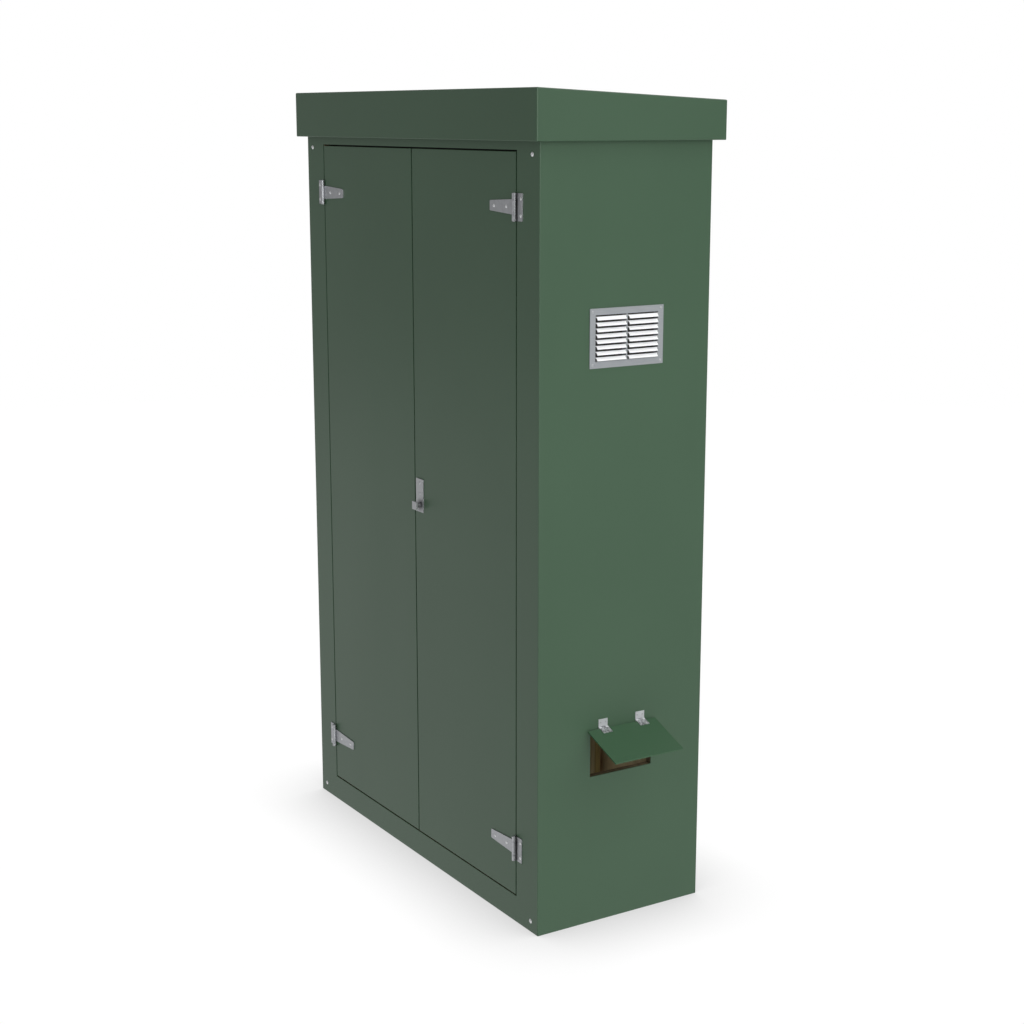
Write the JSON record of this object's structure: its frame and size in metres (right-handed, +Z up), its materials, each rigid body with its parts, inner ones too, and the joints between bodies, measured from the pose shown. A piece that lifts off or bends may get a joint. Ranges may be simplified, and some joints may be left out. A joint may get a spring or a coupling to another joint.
{
  "type": "roadside utility cabinet",
  "caption": "Tall free-standing outdoor kiosk with double hinged doors, overhanging roof cap, louvre vent and a top-hung cable flap, housing equipment on a board inside.",
  "frame": {"origin": "centre of the anchor hole pattern on the ground plane, the middle of the base", "axes": "+Z up, doors face -Y, +X to the right along the doors as seen from the front; the vent and flap are on the +X wall"},
  "size_m": [1.4542, 0.58, 2.205],
  "materials": {
    "green_grp": "satin gel-coat green, moulded glass-fibre reinforced plastic",
    "plywood": "exterior plywood, sealed",
    "timber": "sawn softwood, stained brown",
    "galvanised_steel": "bright zinc plating",
    "stainless_steel": "satin",
    "vent_aluminium": "satin anodised",
    "white_blades": "white paint, satin",
    "mesh_wire": "fine woven wire",
    "black_rubber": "matte EPDM",
    "bush_brass": "turned"
  },
  "bodies": {
    "cabinet": {"base_frame": "galvanised_steel", "left_side_skin": "green_grp", "right_side_skin": "green_grp", "back_skin": "green_grp", "front_frame_skin": "green_grp", "left_side_board": "plywood", "right_side_board": "plywood", "back_wall_board": "plywood", "front_frame_board": "plywood", "left_front_post": "timber", "right_front_post": "timber", "door_head": "timber", "door_sill": "timber", "left_rear_post": "timber", "right_rear_post": "timber", "side_top_rails": "timber", "rear_top_rail": "timber", "roof_board": "plywood", "roof_cap": "green_grp", "equipment_board": "plywood", "board_battens": "timber", "board_screws": "galvanised_steel", "door_seal": "black_rubber", "front_corner_screws": "stainless_steel", "back_corner_screws": "stainless_steel", "bolt_keeps": "galvanised_steel", "vent_frame": "vent_aluminium", "vent_blades": "white_blades", "insect_mesh": "mesh_wire", "vent_screws": "stainless_steel", "hinge_jamb_plates": "galvanised_steel", "hinge_pins": "galvanised_steel", "jamb_screws": "stainless_steel", "flap_wall_leaves": "stainless_steel", "flap_hinge_pins": "stainless_steel", "flap_wall_screws": "stainless_steel"},
    "left_door": {"left_door_skin": "green_grp", "left_door_board": "plywood", "left_door_straps": "galvanised_steel", "left_strap_screws": "stainless_steel", "meeting_seal": "black_rubber", "bolt_guides": "galvanised_steel", "guide_screws": "stainless_steel", "latch_keep": "galvanised_steel"},
    "right_door": {"right_door_skin": "green_grp", "right_door_board": "plywood", "right_door_straps": "galvanised_steel", "right_strap_screws": "stainless_steel", "lock_plate": "stainless_steel", "lock_screws": "stainless_steel", "spindle_bush": "bush_brass"},
    "turn_knob": {"turn_knob": "stainless_steel", "latch_cam": "galvanised_steel", "cam_nut": "galvanised_steel"},
    "top_bolt": {"top_bolt": "galvanised_steel"},
    "bottom_bolt": {"bottom_bolt": "galvanised_steel"},
    "cable_flap": {"cable_flap": "green_grp", "flap_leaves": "stainless_steel", "flap_screws": "stainless_steel"}
  },
  "joints": [
    {"name": "left_door_hinge", "type": "hinge", "parent": "cabinet", "child": "left_door", "pos_m": [-0.538, -0.2715, 0], "axis": [0, 0, -1], "range_deg": [0, 170]},
    {"name": "right_door_hinge", "type": "hinge", "parent": "cabinet", "child": "right_door", "pos_m": [0.538, -0.2715, 0], "axis": [0, 0, 1], "range_deg": [0, 170]},
    {"name": "knob_turn", "type": "hinge", "parent": "right_door", "child": "turn_knob", "pos_m": [0.032, -0.265, 1.066], "axis": [0, 1, 0], "range_deg": [0, 90]},
    {"name": "top_bolt_slide", "type": "slide", "parent": "left_door", "child": "top_bolt", "axis": [0, 0, 1], "range_m": [0, 0.025]},
    {"name": "bottom_bolt_slide", "type": "slide", "parent": "left_door", "child": "bottom_bolt", "axis": [0, 0, -1], "range_m": [0, 0.025]},
    {"name": "flap_hinge", "type": "hinge", "parent": "cabinet", "child": "cable_flap", "pos_m": [0.6484, 0, 0.549], "axis": [0, -1, 0], "range_deg": [-69, 81]}
  ]
}
